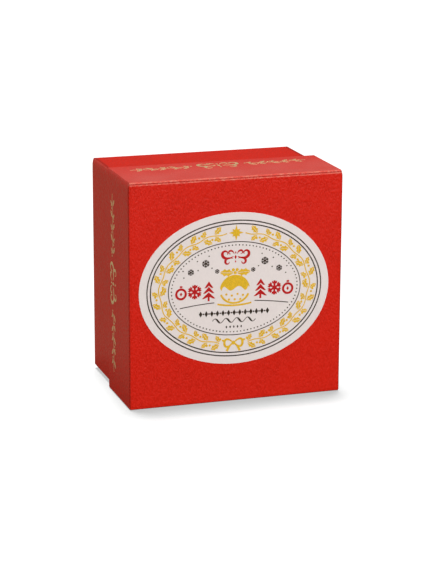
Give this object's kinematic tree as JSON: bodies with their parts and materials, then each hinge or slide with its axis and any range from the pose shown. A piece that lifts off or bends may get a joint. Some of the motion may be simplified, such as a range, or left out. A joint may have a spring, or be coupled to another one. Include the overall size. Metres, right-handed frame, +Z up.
{
  "type": "boxed christmas pudding",
  "caption": "Shut rigid gift box of a christmas pudding: a deep lid over a base, paper wrapped, with an oval label on the lid's face, standing on its side.",
  "frame": {"origin": "middle of the closed box's footprint, at the height of the floor it stands on", "axes": "+Z up; the labelled face of the lid looks along -Y and the base stands out towards +Y; +X is to the right for someone facing the label"},
  "size_m": [0.137, 0.094, 0.142],
  "materials": {
    "lid_paper": "satin",
    "base_paper": "satin",
    "label_paper": "satin",
    "gold_print": "satin",
    "yellow_ink": "matte",
    "red_ink": "matte",
    "dark_ink": "matte"
  },
  "bodies": {
    "root": {"lid": "lid_paper", "base": "base_paper", "label": "label_paper"}
  },
  "joints": []
}
